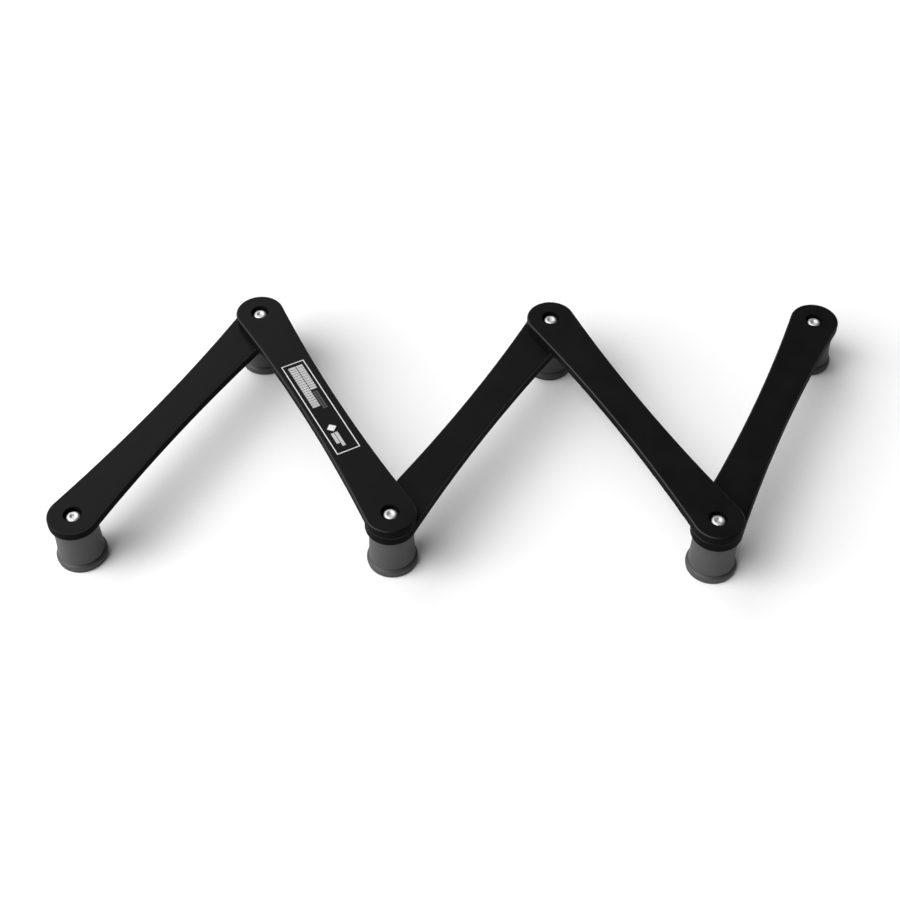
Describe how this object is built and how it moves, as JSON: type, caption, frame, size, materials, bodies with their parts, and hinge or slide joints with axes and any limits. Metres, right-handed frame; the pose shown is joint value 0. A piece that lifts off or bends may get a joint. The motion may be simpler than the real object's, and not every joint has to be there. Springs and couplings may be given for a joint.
{
  "type": "bicycle wall rack",
  "caption": "Hinged zigzag wall rack of flat dog-bone links pivoted end to end in two layers, held off the wall on waisted rubber spools.",
  "frame": {"origin": "on the wall plane (under the foot pads), below the middle of the zigzag's length and width", "axes": "+X along the zigzag from the free end of link 1 to that of link 5, +Z straight out of the wall, +Y up across the zigzag"},
  "size_m": [0.6376, 0.268, 0.0564],
  "materials": {
    "link_plastic": "black glass-filled nylon moulding, fine satin grain",
    "spool_rubber": "dark grey moulded rubber, matte",
    "pad_rubber": "black rubber, matte",
    "post_steel": "turned and zinc plated",
    "screw_steel": "bright zinc plated",
    "acetal": "black acetal, smooth"
  },
  "bodies": {
    "link_3": {"link_3": "link_plastic", "post_3": "post_steel", "screw_3": "screw_steel", "head_washer_3": "acetal", "spool_washer_3": "acetal", "pivot_bush_3": "acetal", "post_4": "post_steel", "screw_4": "screw_steel", "head_washer_4": "acetal", "spool_washer_4": "acetal", "pivot_bush_4": "acetal"},
    "link_1": {"link_1": "link_plastic", "post_1": "post_steel", "screw_1": "screw_steel", "head_washer_1": "acetal", "spool_washer_1": "acetal", "post_2": "post_steel", "screw_2": "screw_steel", "head_washer_2": "acetal", "spool_washer_2": "acetal", "pivot_bush_2": "acetal"},
    "link_2": {"link_2": "link_plastic"},
    "link_4": {"link_4": "link_plastic"},
    "link_5": {"link_5": "link_plastic", "post_5": "post_steel", "screw_5": "screw_steel", "head_washer_5": "acetal", "spool_washer_5": "acetal", "pivot_bush_5": "acetal", "post_6": "post_steel", "screw_6": "screw_steel", "head_washer_6": "acetal", "spool_washer_6": "acetal"},
    "spool_1": {"spool_1": "spool_rubber", "foot_pad_1": "pad_rubber"},
    "spool_2": {"spool_2": "spool_rubber", "foot_pad_2": "pad_rubber"},
    "spool_3": {"spool_3": "spool_rubber", "foot_pad_3": "pad_rubber"},
    "spool_4": {"spool_4": "spool_rubber", "foot_pad_4": "pad_rubber"},
    "spool_5": {"spool_5": "spool_rubber", "foot_pad_5": "pad_rubber"},
    "spool_6": {"spool_6": "spool_rubber", "foot_pad_6": "pad_rubber"}
  },
  "joints": [
    {"name": "pivot_2", "type": "hinge", "parent": "link_2", "child": "link_1", "pos_m": [-0.17267, 0.11403, 0.048], "axis": [0, 0, -1], "range_deg": [-48.6, 121.9]},
    {"name": "pivot_3", "type": "hinge", "parent": "link_3", "child": "link_2", "pos_m": [-0.05607, -0.10711, 0.048], "axis": [0, 0, 1], "range_deg": [-49.6, 120.9]},
    {"name": "pivot_4", "type": "hinge", "parent": "link_3", "child": "link_4", "pos_m": [0.07381, 0.1065, 0.048], "axis": [0, 0, 1], "range_deg": [-49.9, 120.6]},
    {"name": "pivot_5", "type": "hinge", "parent": "link_4", "child": "link_5", "pos_m": [0.19156, -0.11403, 0.048], "axis": [0, 0, -1], "range_deg": [-44, 126.5]},
    {"name": "spool_1_spin", "type": "hinge", "parent": "link_1", "child": "spool_1", "pos_m": [-0.2988, -0.10182, 0.02], "axis": [0, 0, 1], "continuous": true},
    {"name": "spool_2_spin", "type": "hinge", "parent": "link_1", "child": "spool_2", "pos_m": [-0.17267, 0.11403, 0.02], "axis": [0, 0, 1], "continuous": true},
    {"name": "spool_3_spin", "type": "hinge", "parent": "link_3", "child": "spool_3", "pos_m": [-0.05607, -0.10711, 0.02], "axis": [0, 0, 1], "continuous": true},
    {"name": "spool_4_spin", "type": "hinge", "parent": "link_3", "child": "spool_4", "pos_m": [0.07381, 0.1065, 0.02], "axis": [0, 0, 1], "continuous": true},
    {"name": "spool_5_spin", "type": "hinge", "parent": "link_5", "child": "spool_5", "pos_m": [0.19156, -0.11403, 0.02], "axis": [0, 0, 1], "continuous": true},
    {"name": "spool_6_spin", "type": "hinge", "parent": "link_5", "child": "spool_6", "pos_m": [0.2988, 0.1118, 0.02], "axis": [0, 0, 1], "continuous": true}
  ]
}
